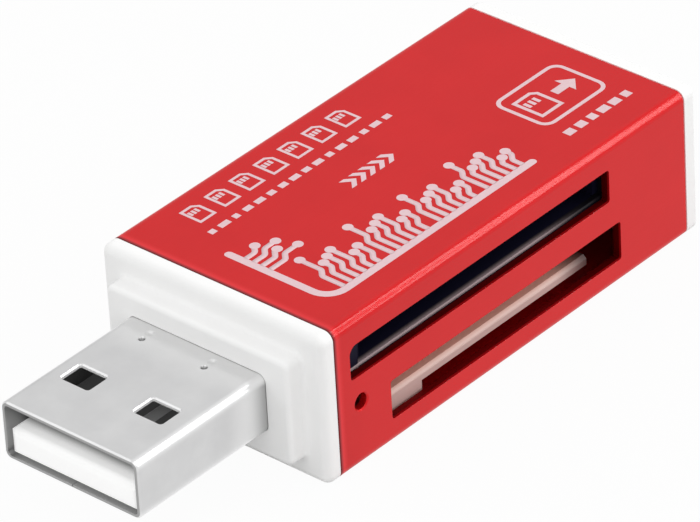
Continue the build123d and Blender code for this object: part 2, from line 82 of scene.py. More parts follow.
lens = bpy.data.cameras.new("portrait_camera")
lens.sensor_fit = "HORIZONTAL"
lens.lens = FOCAL_PIXELS * lens.sensor_width / PICTURE_WIDTH
lens.clip_start = 0.01
camera = bpy.data.objects.new("portrait_camera", lens)
bpy.context.scene.collection.objects.link(camera)
camera.location = camera_place_mm * MM
camera.rotation_mode = "QUATERNION"
aimed = (camera_aim_mm - camera_place_mm).to_track_quat("-Z", "Y")
camera.rotation_quaternion = aimed @ Quaternion((0, 0, 1), camera_roll)
bpy.context.scene.camera = camera
bpy.context.scene.view_settings.view_transform = "Standard"
print("lens in mm:", round(lens.lens, 1))

# %% [markdown]
# ## A helper for node trees
# Every finish below is a tree of nodes. Linking them one by one is long, so one helper adds a node, sets
# its properties, and fills each input with either a value or a link from another node's socket.


# %% Node helper
def put(tree, kind, inputs=None, **settings):
    """Adds a node; an input takes a value, or a link where it is given another node's socket."""
    made = tree.nodes.new(kind)
    for name, value in settings.items():
        setattr(made, name, value)
    for name, value in (inputs or {}).items():
        if isinstance(value, bpy.types.NodeSocket):
            tree.links.new(value, made.inputs[name])
        else:
            made.inputs[name].default_value = value
    return made


def reckon(tree, kind, first, second=0.0):
    """One Math node on two values or sockets; its result."""
    return put(tree, "ShaderNodeMath", {0: first, 1: second}, operation=kind).outputs[0]


# %% [markdown]
# ## The studio
# Product pictures like this one use a white sweep and large soft lamps, so shapes show without hard
# shadows. The long bright lines on the edges come from a strip lamp: an edge along the reader mirrors a
# whole arc of the room, and the strip is tilted to follow that arc. A square panel would light the same
# edges only in part. Each panel is given as a brightness, and its power follows from its area, so panels
# can be resized freely.

# %% Lamps and world
WORLD_LEVEL = 0.80
subject = Vector((0.0, 0.0, 0.006))


def softbox(name, azimuth, elevation, size, brightness, tilt=0.0, distance=0.6):
    """A lamp panel that faces the reader; azimuth 0 is on the side of the wide card slots."""
    turn = math.radians(azimuth)
    rise = math.radians(elevation)
    away = Vector((math.sin(turn) * math.cos(rise), -math.cos(turn) * math.cos(rise), math.sin(rise)))
    panel = bpy.data.lights.new(name, "AREA")
    panel.shape = "RECTANGLE"
    panel.size, panel.size_y = size
    panel.energy = brightness * math.pi * size[0] * size[1]
    lamp = bpy.data.objects.new(name, panel)
    bpy.context.scene.collection.objects.link(lamp)
    lamp.location = subject + away * distance
    lamp.rotation_mode = "QUATERNION"
    facing = (-away).to_track_quat("-Z", "Y")
    lamp.rotation_quaternion = facing @ Quaternion((0, 0, 1), math.radians(tilt))
    return lamp


softbox("edge_strip", 50, 31, (0.06, 0.58), 9.5, tilt=-30)
softbox("side_panel", 0, 30, (0.40, 0.40), 0.55)
softbox("top_panel", 133, 60, (0.50, 0.50), 0.30)
softbox("front_panel", -80, 30, (0.45, 0.45), 0.72)
softbox("rim_panel", -142, 40, (0.25, 0.25), 0.9)

world = bpy.data.worlds.new("studio")
bpy.context.scene.world = world
world.use_nodes = True
world.node_tree.nodes["Background"].inputs["Color"].default_value = (1.0, 1.0, 1.0, 1.0)
world.node_tree.nodes["Background"].inputs["Strength"].default_value = WORLD_LEVEL

# %% [markdown]
# ## The white sweep
# The reader lies on white paper that keeps only a faint shadow. What the camera and mirror-like surfaces
# see of the paper is mostly a plain white glow, with some of its real shading mixed in. Light that
# bounces off it towards the reader comes from an ordinary matte white.

# %% Floor
FLOOR_HALF = 3.0
FLOOR_DROP_MM = 0.02
PAPER_GLOW = 0.96

floor_mesh = bpy.data.meshes.new("paper_floor")
corners = [
    (x * FLOOR_HALF, y * FLOOR_HALF, -FLOOR_DROP_MM * MM)
    for x, y in ((-1, -1), (1, -1), (1, 1), (-1, 1))]
floor_mesh.from_pydata(corners, [], [(0, 1, 2, 3)])
floor = bpy.data.objects.new("paper_floor", floor_mesh)
bpy.context.scene.collection.objects.link(floor)

paper = bpy.data.materials.new("white_paper")
paper.use_nodes = True
tree = paper.node_tree
tree.nodes.clear()
path = put(tree, "ShaderNodeLightPath").outputs
seen = reckon(tree, "MAXIMUM", path["Is Camera Ray"], path["Is Glossy Ray"])
seen = reckon(tree, "MAXIMUM", seen, path["Is Transmission Ray"])
glow_share = reckon(tree, "MULTIPLY", seen, PAPER_GLOW)
matte = put(tree, "ShaderNodeBsdfDiffuse", {"Color": (0.64, 0.64, 0.64, 1.0)})
glow = put(tree, "ShaderNodeEmission", {"Color": (1.0, 1.0, 1.0, 1.0), "Strength": 1.0})
mixed = put(tree, "ShaderNodeMixShader", {0: glow_share, 1: matte.outputs[0], 2: glow.outputs[0]})
put(tree, "ShaderNodeOutputMaterial", {"Surface": mixed.outputs[0]})
floor_mesh.materials.append(paper)

# %% [markdown]
# ## Shared effects
# Several finishes share an effect, only at different sizes. Copying the same nodes into each material
# would work, but a node group is built once and placed with its own values. The first helper makes an
# empty group with named inputs and outputs, and the other two measure the surface in millimetres.


# %% Group helpers
def effect_group(name, inputs, outputs, kind="ShaderNodeTree"):
    """An empty group with named sockets; returns its tree, its input sockets and its output node."""
    group = bpy.data.node_groups.new(name, kind)
    for label, socket_kind, start in inputs:
        socket = group.interface.new_socket(label, in_out="INPUT", socket_type=socket_kind)
        if start is not None:
            socket.default_value = start
    for label, socket_kind in outputs:
        group.interface.new_socket(label, in_out="OUTPUT", socket_type=socket_kind)
    return group, put(group, "NodeGroupInput").outputs, put(group, "NodeGroupOutput")


def place_in_mm(tree):
    """The surface point in millimetres, in the reader's own frame."""
    spot = put(tree, "ShaderNodeTexCoord").outputs["Object"]
    return put(tree, "ShaderNodeMapping", {"Vector": spot, "Scale": (1 / MM, 1 / MM, 1 / MM)}).outputs[0]


def along(tree, direction):
    """How far the surface point lies along a direction, in millimetres."""
    spot = place_in_mm(tree)
    product = put(tree, "ShaderNodeVectorMath", {0: spot, 1: direction}, operation="DOT_PRODUCT")
    return product.outputs["Value"]


# %% [markdown]
# ## Fine texture
# Moulded, blasted and rolled surfaces all carry fine texture. Here it is noise whose grain is given in
# millimetres, and a stretch draws it out into lines. A picture of a texture would have to be laid over
# each piece; noise fills space, so it needs no layout.

# %% Noise in millimetres
group, given, made = effect_group(
    "surface_noise",
    [("Grain", "NodeSocketFloat", 1.0), ("Stretch", "NodeSocketVector", (1.0, 1.0, 1.0)),
     ("Detail", "NodeSocketFloat", 2.0)],
    [("Value", "NodeSocketFloat")])
stretched = put(
    group, "ShaderNodeVectorMath", {0: place_in_mm(group), 1: given["Stretch"]}, operation="MULTIPLY")
fineness = reckon(group, "DIVIDE", 1.0, given["Grain"])
noise = put(
    group, "ShaderNodeTexNoise",
    {"Vector": stretched.outputs[0], "Scale": fineness, "Detail": given["Detail"], "Roughness": 0.55})
group.links.new(noise.outputs["Fac"], made.inputs["Value"])
print("texture group:", group.name)

# %% [markdown]
# ## Masks from places
# Where a finish changes often depends only on where a point lies. Masks could be painted by hand, but
# masks from coordinates stay sharp and follow the sizes that they are given. One grows along a direction,
# one marks thin lines where a piece ends, and one fills a box.

# %% Mask that grows
group, given, made = effect_group(
    "grows_along",
    [("Direction", "NodeSocketVector", (1.0, 0.0, 0.0)), ("Start", "NodeSocketFloat", 0.0),
     ("End", "NodeSocketFloat", 1.0)],
    [("Mask", "NodeSocketFloat")])
ramp = put(
    group, "ShaderNodeMapRange",
    {"Value": along(group, given["Direction"]), "From Min": given["Start"], "From Max": given["End"]},
    interpolation_type="SMOOTHSTEP")
group.links.new(ramp.outputs[0], made.inputs["Mask"])
print("mask group:", group.name)

# %% Mask of end lines
group, given, made = effect_group(
    "end_lines",
    [("Direction", "NodeSocketVector", (1.0, 0.0, 0.0)), ("Low", "NodeSocketFloat", 0.0),
     ("High", "NodeSocketFloat", 1.0), ("Band", "NodeSocketFloat", 0.1)],
    [("Mask", "NodeSocketFloat")])
reach = along(group, given["Direction"])
from_low = reckon(group, "SUBTRACT", reach, given["Low"])
from_high = reckon(group, "SUBTRACT", given["High"], reach)
nearest = reckon(group, "MINIMUM", from_low, from_high)
line = put(
    group, "ShaderNodeMapRange",
    {"Value": nearest, "From Min": 0.0, "From Max": given["Band"], "To Min": 1.0, "To Max": 0.0},
    interpolation_type="SMOOTHSTEP")
group.links.new(line.outputs[0], made.inputs["Mask"])
print("mask group:", group.name)

# %% Mask of a box
group, given, made = effect_group(
    "inside_box",
    [("Low", "NodeSocketVector", (0.0, 0.0, 0.0)), ("High", "NodeSocketVector", (1.0, 1.0, 1.0)),
     ("Soft", "NodeSocketFloat", 0.02)],
    [("Mask", "NodeSocketFloat")])
spot = place_in_mm(group)
over = put(group, "ShaderNodeVectorMath", {0: spot, 1: given["Low"]}, operation="SUBTRACT").outputs[0]
under = put(group, "ShaderNodeVectorMath", {0: given["High"], 1: spot}, operation="SUBTRACT").outputs[0]
depth = put(group, "ShaderNodeVectorMath", {0: over, 1: under}, operation="MINIMUM").outputs[0]
depth = put(group, "ShaderNodeSeparateXYZ", {0: depth}).outputs
depth = reckon(group, "MINIMUM", reckon(group, "MINIMUM", depth[0], depth[1]), depth[2])
filled = put(
    group, "ShaderNodeMapRange", {"Value": depth, "From Min": 0.0, "From Max": given["Soft"]},
    interpolation_type="SMOOTHSTEP")
group.links.new(filled.outputs[0], made.inputs["Mask"])
print("effect groups:", [group.name for group in bpy.data.node_groups])

# %% [markdown]
# ## Helpers for finishes
# A finish starts as one Principled shader. Values that are the same all over go straight to its sockets.
# What changes over the surface comes from the groups: a colour between two shades, a roughness between
# two values, and a bump whose height is in millimetres, so the same helper serves plastic, lacquer and
# metal.


# %% Finish helpers
def new_finish(name, **constants):
    """A material with one Principled shader; constants are given with _ for the spaces in a socket's name."""
    finish = bpy.data.materials.new(name)
    finish.use_nodes = True
    shader = finish.node_tree.nodes["Principled BSDF"]
    for label, value in constants.items():
        shader.inputs[label.replace("_", " ")].default_value = value
    return finish, finish.node_tree, shader.inputs


def effect(tree, name, **values):
    """Places a shared effect with its own values; its first output."""
    placed = put(tree, "ShaderNodeGroup", node_tree=bpy.data.node_groups[name])
    for label, value in values.items():
        placed.inputs[label].default_value = value
    return placed.outputs[0]


def shade(tree, mask, dark, light):
    """A colour between two shades; a shade is three values, or the socket of another colour."""
    mix = put(tree, "ShaderNodeMix", {0: mask}, data_type="RGBA")
    for slot, colour in ((6, dark), (7, light)):
        if isinstance(colour, bpy.types.NodeSocket):
            tree.links.new(colour, mix.inputs[slot])
        else:
            mix.inputs[slot].default_value = (*colour, 1.0)
    return mix.outputs[2]


def between(tree, mask, low, high):
    """A value between two limits."""
    return put(tree, "ShaderNodeMapRange", {"Value": mask, "To Min": low, "To Max": high}).outputs[0]


def bump(tree, height, depth_mm, strength=1.0):
    """A normal from a height of 0 to 1, as deep as depth_mm."""
    return put(
        tree, "ShaderNodeBump",
        {"Height": height, "Distance": depth_mm * MM, "Strength": strength}).outputs["Normal"]


def wear(node, finish):
    """Gives a piece of the frame its finish."""
    nodes[node].material_slots[0].material = finish
    print(node, "is finished in", finish.name)


def ends_mm(node, axis):
    """Where a piece begins and ends along an axis (0, 1 or 2), in millimetres."""
    low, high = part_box(node)
    return low[axis] / MM, high[axis] / MM


# %% [markdown]
# ## The sleeve: red anodised aluminium
# The sleeve is an extruded tube, blasted to a satin and dyed red. Painted shade darkens the slots' cut
# edges, a thin band of painted shade lies along the front end, where the cap shades it, and just behind
# it a band of painted highlight lightens the red. Paint would be a coloured plastic with a white shine.
# Here the dyed metal colours its own broad shine, because blasting leaves it rough, and a thin clear
# layer on top adds the narrow pale line along each edge.

# %% Sleeve finish
# The first two are the dyed red; the third is a painted highlight along the front end, and the last two are
# painted shade.
red_deep = (0.645, 0.006, 0.009)
red_bright = (0.725, 0.010, 0.013)
red_painted_highlight = (0.92, 0.050, 0.062)
red_shade = (0.10, 0.003, 0.005)
red_cut_painted_shade = (0.18, 0.001, 0.002)
# Each slot's low and high corner, along the sleeve and up.
SLOTS_MM = (((-9.65, 7.12), (16.85, 9.52)), ((-5.85, 2.0), (17.9, 4.85)))
SLOT_EDGE_MM = 0.2
WALL_MM = 1.5
SKIN_MM = 0.003
# Widths of the painted highlight and of the painted shade along the front end.
PAINTED_HIGHLIGHT_BAND_MM = 0.85
SHADE_BAND_MM = 0.42
# Past the rear end, so that the lines show at the front only.
NO_REAR_LINE_MM = 1.0

anodised, tree, shader = new_finish("red_anodised", Metallic=1.0, Coat_Roughness=0.16)
blast = effect(tree, "surface_noise", Grain=0.06, Detail=2.0)
cloud = effect(tree, "surface_noise", Grain=5.0, Detail=3.0)
drawn = effect(tree, "surface_noise", Grain=0.12, Detail=2.0, Stretch=(0.04, 1.0, 1.0))
front, rear = ends_mm("sleeve", 0)
past_rear = rear + NO_REAR_LINE_MM
painted_highlight_band = effect(tree, "end_lines", Low=front, High=past_rear, Band=PAINTED_HIGHLIGHT_BAND_MM)
shade_line = effect(tree, "end_lines", Low=front, High=past_rear, Band=SHADE_BAND_MM)
# Painted highlight: a lighter band along the front end.
dye_and_painted_light = shade(tree, painted_highlight_band, shade(tree, cloud, red_deep, red_bright), red_painted_highlight)
near_wall = ends_mm("sleeve", 1)[0]
cut = 0.0
for low, high in SLOTS_MM:
    slot = effect(
        tree, "inside_box",
        Low=(low[0] - SLOT_EDGE_MM, near_wall + SKIN_MM, low[1] - SLOT_EDGE_MM),
        High=(high[0] + SLOT_EDGE_MM, near_wall + WALL_MM, high[1] + SLOT_EDGE_MM), Soft=0.005)
    cut = reckon(tree, "MAXIMUM", slot, cut)
# Painted shade on the slots' cut edges.
dye_and_painted_light = shade(tree, cut, dye_and_painted_light, red_cut_painted_shade)
# Painted shade along the front end, where the cap shades it.
tree.links.new(shade(tree, shade_line, dye_and_painted_light, red_shade), shader["Base Color"])
tree.links.new(between(tree, cut, 0.42, 0.0), shader["Coat Weight"])
satin = reckon(tree, "ADD", between(tree, blast, 0.56, 0.66), between(tree, drawn, 0.0, 0.06))
tree.links.new(satin, shader["Roughness"])
tree.links.new(bump(tree, blast, 0.003), shader["Normal"])
wear("sleeve", anodised)

# %% [markdown]
# ## The caps: white moulded plastic
# Both caps are moulded in one white plastic with a fine satin from the mould. A plain white would look
# like chalk, so a fine grain breaks the shine and a wide mottle shifts the white a little.

# %% Cap finish
white_low = (0.89, 0.89, 0.885)
white_high = (0.93, 0.93, 0.925)

moulded_white, tree, shader = new_finish("white_moulding", Specular_IOR_Level=0.25)
spark = effect(tree, "surface_noise", Grain=0.09, Detail=2.0)
drift = effect(tree, "surface_noise", Grain=3.5, Detail=2.0)
tree.links.new(shade(tree, drift, white_low, white_high), shader["Base Color"])
tree.links.new(between(tree, spark, 0.50, 0.64), shader["Roughness"])
tree.links.new(bump(tree, spark, 0.004), shader["Normal"])
for cap in ("front_cap", "rear_cap"):
    wear(cap, moulded_white)

# %% [markdown]
# ## The plug: plated sheet steel
# The shell is folded from rolled sheet and plated, so it is a soft mirror with very faint lines along the
# rolling. Noise that is stretched along the plug gives those lines. They change the roughness more than
# the colour. Inside, on the rim, in the punched dents and beside the cap a mask of each place darkens the
# colour with painted shade, and inside the roughness rises too. Towards the cap the colour grows lighter,
# a painted light. Along the bends the colour is lighter, a painted highlight, and the roughness rises.
# The sheared edges of the windows are raw: they scatter light instead of mirroring it, so they are less
# metallic, and their near-white colour is a painted highlight.

# %% Plug colours and sizes
steel_low = (0.59, 0.59, 0.595)
steel_high = (0.74, 0.74, 0.74)
# The next two are painted light towards the cap, and the third a painted highlight on the bends.
steel_cap_painted_light = (0.79, 0.79, 0.79)
steel_side_painted_light = (0.94, 0.94, 0.94)
steel_bend_highlight = (0.92, 0.92, 0.92)
# The next two are painted shade, and the last a painted highlight on the sheared edges.
steel_painted_shade = (0.36, 0.36, 0.36)
steel_cap_painted_shade = (0.50, 0.50, 0.50)
steel_sheared_highlight = (0.95, 0.95, 0.95)
SHEET_MM = 0.3
PLUG_HALF_MM = 6.0
# How far each mask reaches from the edge that it starts at.
BEND_SIDE_MM = 0.58
BEND_HIGH_MM = 0.87
SIDE_TOP_MM = (0.30, 0.75)
# How far the painted light reaches before the cap, and the band of painted shade at the cap.
CAP_LIGHT_MM = 4.0
CAP_SHADE_MM = (-1.5, 0.15)
RIM_DEEP_MM = 0.03
RIM_IN_MM = (0.08, 0.10)
OUTSIDE_MM = 0.1
LIP_MM = 0.02
SLACK_MM = 0.03
SIDE_SLACK_MM = 0.15
FACE_MM = 0.01
# Where the windows and the dents lie: along from the plug's tip, and across from its middle.
WINDOW_X_MM = (4.2, 6.2)
WINDOW_Y_MM = ((-4.3, -1.75), (2.1, 4.65))
DENT_X_MM = 10.7
DENT_Y_MM = (-2.15, 3.35)
DENT_HALF_MM = 0.34
print("sheet in mm:", SHEET_MM)

# %% Plug masks
ACROSS = (0.0, 1.0, 0.0)
UP = (0.0, 0.0, 1.0)
DOWN = (0.0, 0.0, -1.0)

plated, tree, shader = new_finish("plated_steel")
rolled = effect(tree, "surface_noise", Grain=0.10, Detail=3.0, Stretch=(0.03, 1.0, 1.0))
tarnish = effect(tree, "surface_noise", Grain=2.6, Detail=3.0)
tip, base = ends_mm("usb_shell", 0)
bottom, top = ends_mm("usb_shell", 2)
inner_side = ends_mm("usb_tongue", 1)[1] + SIDE_SLACK_MM
# Painted shade inside the shell; the same mask also raises the roughness.
dull = effect(
    tree, "inside_box", Low=(tip + LIP_MM, -inner_side, bottom + SHEET_MM - SLACK_MM),
    High=(base, inner_side, top - SHEET_MM + SLACK_MM))
cap_mm = ends_mm("front_cap", 0)[0]
# Painted light that grows towards the cap.
cap_painted_light = effect(tree, "grows_along", Start=cap_mm - CAP_LIGHT_MM, End=cap_mm)
below_top = effect(
    tree, "grows_along", Direction=DOWN, Start=-top + SIDE_TOP_MM[0], End=-top + SIDE_TOP_MM[1])
# Painted shade on the sides beside the cap.
at_cap = effect(tree, "grows_along", Start=cap_mm + CAP_SHADE_MM[0], End=cap_mm + CAP_SHADE_MM[1])
cap_painted_shade = reckon(tree, "MULTIPLY", at_cap, below_top)
rim_side = PLUG_HALF_MM - RIM_IN_MM[0]
# Painted shade on the front face of the rim.
rim = effect(
    tree, "inside_box", Low=(tip - OUTSIDE_MM, -rim_side, bottom - OUTSIDE_MM),
    High=(tip + RIM_DEEP_MM, rim_side, top - RIM_IN_MM[1]))
beside = effect(
    tree, "end_lines", Direction=ACROSS, Low=-PLUG_HALF_MM, High=PLUG_HALF_MM, Band=BEND_SIDE_MM)
over = effect(tree, "end_lines", Direction=UP, Low=bottom, High=top, Band=BEND_HIGH_MM)
# Where a painted highlight lightens the bends.
bend = reckon(tree, "MULTIPLY", beside, over)
# Painted shade in the punched dents.
dent_painted_shade = 0.0
dent_x = tip + DENT_X_MM
for across in DENT_Y_MM:
    dent = effect(
        tree, "inside_box", Low=(dent_x - DENT_HALF_MM, across - DENT_HALF_MM, top - SHEET_MM),
        High=(dent_x + DENT_HALF_MM, across + DENT_HALF_MM, top - FACE_MM), Soft=0.10)
    dent_painted_shade = reckon(tree, "MAXIMUM", dent_painted_shade, dent)
# The sheared edges of the windows, where a painted highlight lightens the colour.
sheared = 0.0
for low, high in WINDOW_Y_MM:
    hole = effect(
        tree, "inside_box", Low=(tip + WINDOW_X_MM[0], low, top - SHEET_MM + FACE_MM),
        High=(tip + WINDOW_X_MM[1], high, top - FACE_MM))
    sheared = reckon(tree, "MAXIMUM", hole, sheared)
print("plug in mm:", round(base - tip, 2), "by", round(top - bottom, 2))

# %% Plug finish
# The tarnished tones, then painted light towards the cap, a painted highlight on the bends, and painted shade
# beside the cap, in the dents, inside and on the rim.
plating_and_painted_light = shade(tree, tarnish, steel_low, steel_high)
plating_and_painted_light = shade(tree, cap_painted_light, plating_and_painted_light, steel_cap_painted_light)
plating_and_painted_light = shade(tree, reckon(tree, "MULTIPLY", cap_painted_light, below_top), plating_and_painted_light, steel_side_painted_light)
plating_and_painted_light = shade(tree, bend, plating_and_painted_light, steel_bend_highlight)
plating_and_painted_light = shade(tree, cap_painted_shade, plating_and_painted_light, steel_cap_painted_shade)
for mask in (dent_painted_shade, dull, rim):
    plating_and_painted_light = shade(tree, mask, plating_and_painted_light, steel_painted_shade)
# A painted highlight on the sheared edges.
tree.links.new(shade(tree, sheared, plating_and_painted_light, steel_sheared_highlight), shader["Base Color"])
tree.links.new(between(tree, sheared, 1.0, 0.25), shader["Metallic"])
satin = reckon(tree, "ADD", between(tree, rolled, 0.27, 0.30), between(tree, dull, 0.0, 0.25))
satin = reckon(tree, "ADD", satin, between(tree, bend, 0.0, 0.16))
tree.links.new(satin, shader["Roughness"])
tree.links.new(bump(tree, rolled, 0.0002), shader["Normal"])
wear("usb_shell", plated)

# %% [markdown]
# ## The plug's insulator and contacts
# The insulator is milk-white. It glows a little, a painted glow that is strongest just behind its tip,
# and deep in the closed shell its colour turns dark, a painted shade. The strips in it are tinned and
# burnished along their length, where a socket's springs have slid on them. The springs of the card
# sockets are gold plated.

# %% Insulator
# From the tip: where the painted shade deep in the shell begins and ends, and where the painted glow grows.
SHADE_FROM_TIP_MM = (0.75, 2.05)
GLOW_FROM_TIP_MM = (-0.05, 0.5)
GLOW = 0.38
TIP_GLOW_SHARE = 0.13 / GLOW
milky_light = (0.96, 0.96, 0.955)
milky_painted_shade = (0.06, 0.06, 0.06)

insulator, tree, shader = new_finish(
    "white_insulator", Specular_IOR_Level=0.5, Emission_Strength=GLOW)
speck = effect(tree, "surface_noise", Grain=0.15, Detail=2.0)
tip_mm = ends_mm("usb_tongue", 0)[0]
# Masks of painted shade deep in the shell and of a painted glow just behind the tip.
inward_shade, behind_lip = [
    effect(tree, "grows_along", Start=tip_mm + start, End=tip_mm + end)
    for start, end in (SHADE_FROM_TIP_MM, GLOW_FROM_TIP_MM)]
# Painted shade darkens the colour inwards; the emission colour is a painted glow, weaker at the tip.
milky_and_painted_shade = shade(tree, inward_shade, milky_light, milky_painted_shade)
faint = shade(
    tree, inward_shade, [TIP_GLOW_SHARE * level for level in milky_light],
    [TIP_GLOW_SHARE * level for level in milky_painted_shade])
tree.links.new(milky_and_painted_shade, shader["Base Color"])
tree.links.new(shade(tree, behind_lip, faint, milky_and_painted_shade), shader["Emission Color"])
tree.links.new(between(tree, speck, 0.26, 0.36), shader["Roughness"])
tree.links.new(bump(tree, speck, 0.002), shader["Normal"])
wear("usb_tongue", insulator)

# %% Contacts
strip_tin, tree, shader = new_finish("strip_tin", Metallic=0.1)
burnish = effect(tree, "surface_noise", Grain=0.08, Detail=2.0, Stretch=(0.05, 1.0, 1.0))
tree.links.new(shade(tree, burnish, (0.84, 0.84, 0.84), (0.97, 0.97, 0.97)), shader["Base Color"])
tree.links.new(between(tree, burnish, 0.40, 0.55), shader["Roughness"])
gold, tree, shader = new_finish("gold_plate", Metallic=1.0)
burnish = effect(tree, "surface_noise", Grain=0.08, Detail=2.0, Stretch=(1.0, 0.05, 1.0))
tree.links.new(shade(tree, burnish, (0.72, 0.48, 0.14), (0.86, 0.64, 0.26)), shader["Base Color"])
tree.links.new(between(tree, burnish, 0.14, 0.30), shader["Roughness"])
for node in nodes:
    if node.startswith("usb_contact_"):
        wear(node, strip_tin)
    elif node.endswith("_card_contacts"):
        wear(node, gold)

# %% [markdown]
# ## The card sockets
# Behind the slots stand the sockets: black and cream mouldings, and covers bent from thin bare sheet. The
# mouldings are matte. The cream one carries a painted red reflection of the sleeve and painted shade away
# from the mouth: masks that grow inwards, downwards and towards the rear darken and redden its colour. The
# strip at the upper mouth has lost its shine, so the near cover is a dull grey with a painted red
# reflection of the sleeve, darkened inwards and towards the rear with painted shade, and the far covers
# are brighter.

# %% Mouth of the near sockets
MOUTH_Y_MM = ends_mm("lower_card_housing", 1)[0]
FLOOR_TOP_MM = 3.3
# Bands of the masks: below the floor's top, inwards from the mouth and along the reader.
FLOOR_EDGE_MM = (0.15, 0.40)
CREAM_INWARD_MM = (0.04, 0.30)
CREAM_DEEPER_MM = (0.8, 2.0)
CREAM_REAR_MM = (11.5, 15.6)
SHEET_INWARD_MM = (0.05, 0.45)
SHEET_REAR_MM = (9.0, 15.5)


def from_mouth(tree, band):
    """A mask that grows inwards from the near sockets' mouth, over a band in millimetres."""
    start, end = band
    return effect(
        tree, "grows_along", Direction=ACROSS, Start=MOUTH_Y_MM + start, End=MOUTH_Y_MM + end)


# %% Socket mouldings
black, tree, shader = new_finish("black_moulding", Specular_IOR_Level=0.12)
grit = effect(tree, "surface_noise", Grain=0.12, Detail=2.0)
tree.links.new(shade(tree, grit, (0.003, 0.003, 0.012), (0.008, 0.007, 0.024)), shader["Base Color"])
tree.links.new(between(tree, grit, 0.50, 0.70), shader["Roughness"])
tree.links.new(bump(tree, grit, 0.004), shader["Normal"])
for node in ("upper_card_housing", "micro_card_housing", "mini_card_housing"):
    wear(node, black)

cream, tree, shader = new_finish("cream_moulding", Specular_IOR_Level=0.4)
grit = effect(tree, "surface_noise", Grain=0.12, Detail=2.0)
drift = effect(tree, "surface_noise", Grain=2.4, Detail=2.0)
# Masks of painted shade and of a painted red reflection of the sleeve.
inward_shade = from_mouth(tree, CREAM_INWARD_MM)
deeper = from_mouth(tree, CREAM_DEEPER_MM)
lower = effect(
    tree, "grows_along", Direction=DOWN,
    Start=-FLOOR_TOP_MM + FLOOR_EDGE_MM[0], End=-FLOOR_TOP_MM + FLOOR_EDGE_MM[1])
# Painted shade below the floor's edge and inwards, and a painted red reflection of the sleeve inwards and
# deeper in.
ivory_and_painted_light = shade(tree, drift, (0.82, 0.58, 0.52), (0.90, 0.66, 0.59))
ivory_and_painted_light = shade(tree, lower, ivory_and_painted_light, (0.56, 0.37, 0.34))
ivory_and_painted_light = shade(tree, inward_shade, ivory_and_painted_light, (0.76, 0.44, 0.36))
ivory_and_painted_light = shade(tree, deeper, ivory_and_painted_light, (0.84, 0.34, 0.26))
# Painted shade, near black, towards the rear.
rearward_shade = effect(tree, "grows_along", Start=CREAM_REAR_MM[0], End=CREAM_REAR_MM[1])
tree.links.new(shade(tree, rearward_shade, ivory_and_painted_light, (0.05, 0.012, 0.010)), shader["Base Color"])
tree.links.new(between(tree, grit, 0.40, 0.58), shader["Roughness"])
tree.links.new(bump(tree, grit, 0.004), shader["Normal"])
wear("lower_card_housing", cream)

# %% Socket covers
bare_sheet, tree, shader = new_finish("bare_sheet", Metallic=1.0)
rolled = effect(tree, "surface_noise", Grain=0.09, Detail=3.0, Stretch=(0.04, 1.0, 1.0))
tree.links.new(shade(tree, rolled, (0.52, 0.51, 0.48), (0.66, 0.65, 0.62)), shader["Base Color"])
tree.links.new(between(tree, rolled, 0.28, 0.46), shader["Roughness"])
for node in ("micro_card_cover", "mini_card_cover"):
    wear(node, bare_sheet)

dull_sheet, tree, shader = new_finish("dull_sheet", Metallic=0.2, Specular_IOR_Level=0.3)
rolled = effect(tree, "surface_noise", Grain=0.09, Detail=3.0, Stretch=(0.04, 1.0, 1.0))
# Painted shade inwards and towards the rear; the red in the grey is a painted reflection of the sleeve.
inward_shade = from_mouth(tree, SHEET_INWARD_MM)
grey = shade(tree, rolled, (0.30, 0.22, 0.23), (0.37, 0.29, 0.30))
grey = shade(tree, inward_shade, grey, (0.02, 0.016, 0.022))
rearward_shade = effect(tree, "grows_along", Start=SHEET_REAR_MM[0], End=SHEET_REAR_MM[1])
tree.links.new(shade(tree, rearward_shade, grey, (0.004, 0.003, 0.006)), shader["Base Color"])
tree.links.new(between(tree, rolled, 0.50, 0.65), shader["Roughness"])
wear("upper_card_cover", dull_sheet)

# %% [markdown]
# ## The board and its parts
# A circuit board is glass fibre under green lacquer, and the lacquer shows the copper under it as paler
# green. Cells of a Voronoi pattern would look like cracked mud, so a brick pattern stands for the runs of
# copper. The chip, the crystal's can, the lamp and the small parts are hidden deep inside, but each has
# its own finish.

# %% Board
lacquer, tree, shader = new_finish("green_lacquer", Specular_IOR_Level=0.5, Roughness=0.32)
runs = put(
    tree, "ShaderNodeTexBrick",
    {"Vector": place_in_mm(tree), "Scale": 1.0, "Mortar Size": 0.12, "Brick Width": 2.4, "Row Height": 0.5,
     "Color1": (0.012, 0.095, 0.045, 1.0), "Color2": (0.016, 0.115, 0.055, 1.0),
     "Mortar": (0.03, 0.19, 0.09, 1.0)})
tree.links.new(runs.outputs["Color"], shader["Base Color"])
tree.links.new(bump(tree, runs.outputs["Fac"], 0.02), shader["Normal"])
wear("circuit_board", lacquer)

# %% Parts on the board
resin, tree, shader = new_finish("black_resin", Specular_IOR_Level=0.4)
grit = effect(tree, "surface_noise", Grain=0.10, Detail=3.0)
tree.links.new(shade(tree, grit, (0.014, 0.014, 0.016), (0.034, 0.034, 0.036)), shader["Base Color"])
tree.links.new(between(tree, grit, 0.50, 0.70), shader["Roughness"])
tree.links.new(bump(tree, grit, 0.006), shader["Normal"])
for node in ("controller_chip", "resistors"):
    wear(node, resin)

tinned, tree, shader = new_finish("tin_plate", Metallic=1.0)
dull = effect(tree, "surface_noise", Grain=0.4, Detail=3.0)
tree.links.new(shade(tree, dull, (0.56, 0.56, 0.55), (0.72, 0.72, 0.70)), shader["Base Color"])
tree.links.new(between(tree, dull, 0.22, 0.42), shader["Roughness"])
for node in ("controller_leads", "crystal_can"):
    wear(node, tinned)

